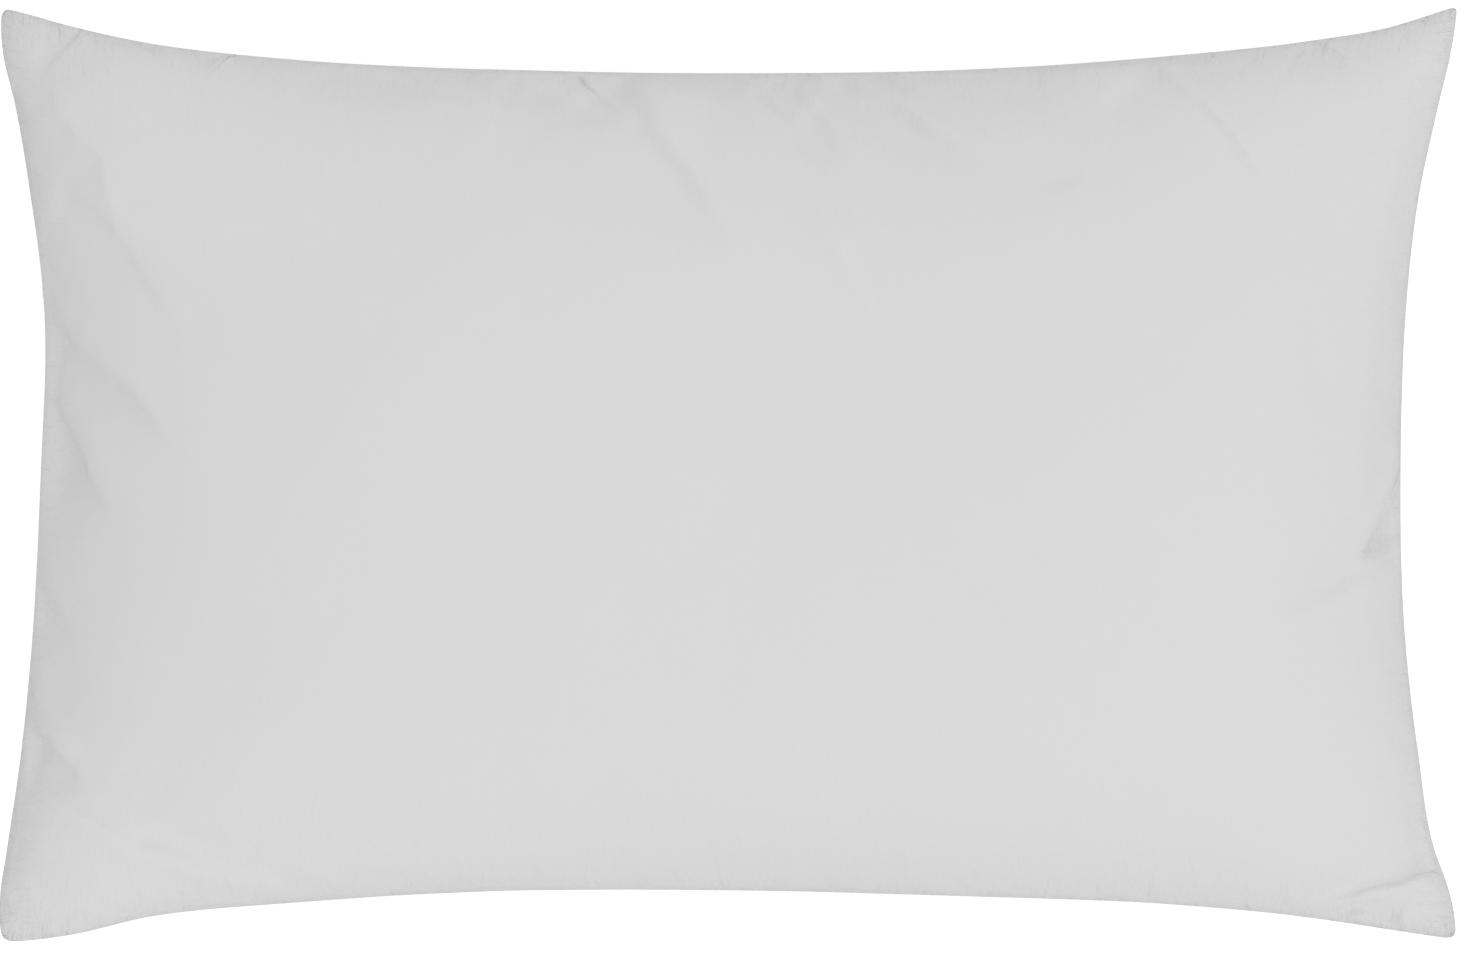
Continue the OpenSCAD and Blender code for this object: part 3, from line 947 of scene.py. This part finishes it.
def lockstitch(side, spans):
    # stitches that cross the groove between the panels: in at one end, out in the middle
    line, length, into = sideRuns[side]
    w = across if side in ("far", "near") else up
    runs = []
    for start, end in spans:
        for k in range(int((end - start) * length / 2 / stitches["step"])):
            mid = start + (k + 0.5) * stitches["step"] * 2 / length
            part = np.linspace(-1, 1, 5)
            at = mid + part * stitches["long"] / length
            run = np.stack([np.interp(at, w, line[:, c]) for c in range(3)], -1)
            deep = allowance["gap"] + stitches["deep"] * part**2
            run += np.asarray(into) * deep[:, None]
            run[:, 2] += stitches["slope"] * part
            runs.append(run)
    return runs


openingPart = 2 * opening["half"] / caseCloth["cutWidth"]
seams = {
    "far_side_seam": ("farSideSeam", "far", [(-0.985, 0.985)]),
    "near_side_seam": ("nearSideSeam", "near", [(-0.985, 0.985)]),
    "right_end_seam": ("rightEndSeam", "right", [(-0.975, 0.975)]),
    "left_end_seam": ("leftEndSeam", "left", [(-0.975, -openingPart), (openingPart, 0.975)]),
}
for nodeName, (name, side, spans) in seams.items():
    thread = threadPiece(name, lockstitch(side, spans), stitches["thread"], spunThread)
    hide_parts(nodeName)


closing = {
    "step": 0.0034, "long": 0.0029, "thread": 0.00022, "lap": 0.010,
    "sink": 0.0005,  # how far a stitch's ends go into the cloth
    "doubled": 3,  # stitches sewn twice at each end, the second time this much aside
    "aside": (0.00035, 0.0011, 0),
}


def closingRow():
    # straight stitches through the pinched edge, seen on both sides, doubled back at both ends
    runs = []
    width = caseCloth["cutWidth"]
    reach = opening["half"] + closing["lap"]
    count = int(2 * reach / closing["step"])
    sAt = -1 + 2 * opening["rowIn"] / caseCloth["cutLength"]
    for grid, side in ((upper, 1), (lower, -1)):
        for k in range(count):
            mid = -reach + (k + 0.5) * closing["step"]
            part = np.linspace(-1, 1, 6)
            at = (mid + part * closing["long"] / 2) * 2 / width
            run = onCloth(grid, np.full(6, sAt), at)
            run[:, 2] += side * (closing["thread"] * 0.7 - closing["sink"] * np.abs(part) ** 3)
            runs.append(run)
            if min(k, count - 1 - k) < closing["doubled"]:
                runs.append(run + closing["aside"])
    return runs


closingThread = threadPiece("closingSeam", closingRow(), closing["thread"], spunThread)
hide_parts("closing_seam")

overlock = {"step": 0.0030, "bite": 0.0042, "thread": 0.00016}


def overlockLoops():
    # one long zigzag that wraps round both raw edges inside the case
    gaps = np.linalg.norm(np.diff(seamLine, axis=0, append=seamLine[:1]), axis=1)
    run = np.concatenate([[0], np.cumsum(gaps)])
    ringPoints = np.concatenate([seamLine, seamLine[:1]])
    ringIn = np.concatenate([seamIn, seamIn[:1]])
    count = int(run[-1] / overlock["step"])
    turns = np.linspace(0, run[-1], count * 4, endpoint=False)
    spot = np.stack([np.interp(turns, run, ringPoints[:, c]) for c in range(3)], -1)
    into = np.stack([np.interp(turns, run, ringIn[:, c]) for c in range(3)], -1)
    edge = np.interp(turns, run, np.concatenate([seamDeep, seamDeep[:1]]))
    stack = 0.0001 + caseCloth["thickness"] + overlock["thread"]
    bite = np.minimum(overlock["bite"], edge * 0.8)
    deep = edge + np.tile([-1, 0, 0, -1], count) * bite + np.tile([0, 0.0004, 0.0004, 0], count)
    high = np.tile([stack, stack * 0.7, -stack * 0.7, -stack], count)
    return spot + into * deep[:, None] + np.array([0, 0, 1]) * high[:, None]


overlockThread = threadPiece("overlockThread", [overlockLoops()], overlock["thread"], spunThread, 5)
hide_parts("overlock_thread")
print("seams: lockstitch, closing row and overlock sewn")

# Filling
filling = {
    "layer": (88, 60),  # columns and rows of each mesh
    "ball": (56, 38),
    "inset": 0.016,
    "clear": 0.0012,  # room left under the cloth
    "core": 0.62,  # share of the case that the core takes up, and of its loft
    "coreLoft": 0.50,
    "gap": 0.0006,
    "least": 0.0004,  # thinnest part of a layer
    "tuft": (0.012, 0.0007),  # scale and height of the fibre's tufts
}


def fillGrid(part, size):
    places = [crowded(n, 0.5) * part for n in size]
    gs, gt = np.meshgrid(*places)
    shrink = np.array([1 - filling["inset"] / halfLength, 1 - filling["inset"] / halfWidth])
    grids = []
    for grid, side in ((upper, 1), (lower, -1)):
        fine = np.stack([onCloth(grid, gs[r], gt[r]) for r in range(len(gt))])
        fine[..., :2] *= shrink
        fine[..., 2] -= side * filling["clear"]
        grids.append(fine)
    middle = (grids[0] + grids[1]) / 2
    return gs, gt, grids[0], grids[1], middle


def tufted(gs, gt, seed):
    scale, high = filling["tuft"]
    return high * rippled(gs * halfLength, gt * halfWidth, scale, seed, 3)


def closedPiece(name, top, bottom, material, way=1):
    # a body between two grids that share an outline; way -1 turns its faces over
    index = np.arange(top.shape[0] * top.shape[1]).reshape(top.shape[:2])
    under = index.size + index
    sides = stripQuads(ringOf(index), ringOf(under))[:, ::-way]
    faces = np.concatenate([gridQuads(index)[:, ::way], sides, gridQuads(under)[:, ::-way]])
    return meshPiece(name, np.concatenate([top.reshape(-1, 3), bottom.reshape(-1, 3)]), faces, material)


def fillingPieces():
    gs, gt, top, bottom, middle = fillGrid(1.0, filling["layer"])
    coreS, coreT = (np.minimum(1, np.abs(g) / filling["core"]) for g in (gs, gt))
    share, gap = filling["coreLoft"] * loftOver(coreS, coreT), filling["gap"]
    over, under = middle.copy(), middle.copy()
    over[..., 2] += gap + share * (top[..., 2] - middle[..., 2])
    under[..., 2] -= gap + share * (middle[..., 2] - bottom[..., 2])
    rag = tufted(gs, gt, 3.0) - filling["tuft"][1]
    top[..., 2] = np.maximum(top[..., 2] + rag, over[..., 2] + filling["least"])
    bottom[..., 2] = np.minimum(bottom[..., 2] - rag * 0.5, under[..., 2] - filling["least"])
    upperLayer = closedPiece("upperFibreLayer", top, over, hollowFibre)
    lowerLayer = closedPiece("lowerFibreLayer", under, bottom, hollowFibre)
    gs, gt, top, bottom, middle = fillGrid(filling["core"] * 0.985, filling["ball"])
    inCore = loftOver(gs / filling["core"], gt / filling["core"]) * filling["coreLoft"] * 0.94
    ragged = tufted(gs, gt, 8.0) * 0.5
    coreTop, coreLow = middle.copy(), middle.copy()
    coreTop[..., 2] += 0.0002 + inCore * (top[..., 2] - middle[..., 2] + ragged)
    coreLow[..., 2] -= 0.0002 + inCore * (middle[..., 2] - bottom[..., 2] + ragged)
    core = closedPiece("fibreCore", coreTop, coreLow, hollowFibre)
    return (upperLayer, "upper_fibre_layer"), (lowerLayer, "lower_fibre_layer"), (core, "fibre_core")


for fibre, nodeName in fillingPieces():
    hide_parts(nodeName)
print("filling: core and two layers made")

# Care label
labelLow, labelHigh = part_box("care_label")
label = {
    "wide": labelHigh.y - labelLow.y,
    "long": labelHigh.z - labelLow.z,
    "middle": (labelHigh.y + labelLow.y) / 2,
    "thick": 0.00028,
    "swing": 0.009,
    "curl": 0.0016,
    "caught": (0.0009, 0.0011),  # its top lies this far in from the seam, and below it
    "mesh": (20, 36),
}


def careLabel():
    # blank satin tape, caught in the seam and hanging below it with a slight curl
    (columns, rows), (into, below) = label["mesh"], label["caught"]
    f, w = np.meshgrid(np.linspace(0, 1, rows + 1), np.linspace(-1, 1, columns + 1), indexing="ij")
    y = label["middle"] + w * label["wide"] / 2
    edge = seamMid[:, 0]
    x = np.interp(y.ravel(), edge[:, 1], edge[:, 0]).reshape(y.shape) + into
    z = np.interp(y.ravel(), edge[:, 1], edge[:, 2]).reshape(y.shape) - below
    bend = label["curl"] * np.sin(f * 2.6 + 0.4) * (w**2 - 0.4) + 0.0008 * np.sin(w * 2.1 + f * 3) * f
    front = np.stack([x + label["swing"] * f**2 + bend * f, y, z - label["long"] * f], -1)
    rear = front + gridNormals(front) * label["thick"]
    return closedPiece("careLabel", front, rear, labelSatin, -1)


tape = careLabel()
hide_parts("care_label")
print("label: blank tape hung")

# Studio
studio = {
    "floor": 0.92, "floorGlow": 0.42, "floorBounce": 0.55, "backdrop": 1.1, "floorHalf": 30,
    "all": 0.40, "above": 0.28, "right": 0.31, "far": 0.66, "near": 0.84,
}
white = (1, 1, 1, 1)


def forCamera(tree, others, seen, out):
    # the camera sees one shader, every other ray meets the other
    path, mix = node(tree, "ShaderNodeLightPath"), node(tree, "ShaderNodeMixShader")
    for k, socket in enumerate((path.outputs["Is Camera Ray"], others.outputs[0], seen.outputs[0])):
        link(tree, socket, mix.inputs[k])
    link(tree, mix.outputs[0], tree.nodes[out].inputs["Surface"])


def paleFloor():
    half = studio["floorHalf"]
    mesh = bpy.data.meshes.new("floor")
    corners = [(-half, -half, 0), (half, -half, 0), (half, half, 0), (-half, half, 0)]
    mesh.from_pydata(corners, [], [(0, 1, 2, 3)])
    floor = bpy.data.objects.new("floor", mesh)
    scene.collection.objects.link(floor)
    mat, tree, shader = newMaterial("paleFloor", Roughness=1.0, Base_Color=(studio["floor"],) * 3 + (1,))
    feed(tree, shader, Emission_Color=white, Emission_Strength=studio["floorGlow"])
    # light that bounces up from the floor is kept low, so the pillow's sides fall off softly
    dull = node(tree, "ShaderNodeBsdfDiffuse")
    feed(tree, dull, Color=(studio["floorBounce"],) * 3 + (1,))
    forCamera(tree, dull, shader, "Material Output")
    mesh.materials.append(mat)


def softSky():
    world = bpy.data.worlds.new("studio")
    world.use_nodes = True
    tree = world.node_tree
    where = node(tree, "ShaderNodeTexCoord").outputs["Generated"]
    split = feed(tree, node(tree, "ShaderNodeSeparateXYZ"), Vector=where)
    # an even dome, with a broad soft panel over each long side and a fainter one over the right end
    total = studio["all"]
    for axis, turn, name in (("Z", 1, "above"), ("X", 1, "right"), ("Y", 1, "far"), ("Y", -1, "near")):
        toward = math2(tree, "MAXIMUM", math2(tree, "MULTIPLY", split.outputs[axis], turn), 0)
        total = math2(tree, "ADD", math2(tree, "MULTIPLY", toward, studio[name]), total)
    sky = feed(tree, tree.nodes["Background"], Color=white, Strength=total)
    plain = feed(tree, node(tree, "ShaderNodeBackground"), Color=white, Strength=studio["backdrop"])
    forCamera(tree, sky, plain, "World Output")
    scene.world = world


def straightDown():
    # square on to the face, with the pillow just filling the frame
    view = {"far": 3.0, "wide": 2 * halfLength * 1.001, "x": 0.0009, "y": -0.0007}
    data = bpy.data.cameras.new("camera")
    data.sensor_width = 36
    data.lens = data.sensor_width * view["far"] / view["wide"]
    data.clip_end = 60
    camera = bpy.data.objects.new("camera", data)
    camera.location = (view["x"], view["y"], seamZ + view["far"])
    scene.collection.objects.link(camera)
    scene.camera = camera


paleFloor()
softSky()
straightDown()
scene.view_settings.view_transform = "Standard"
print("studio: floor, light and camera set")
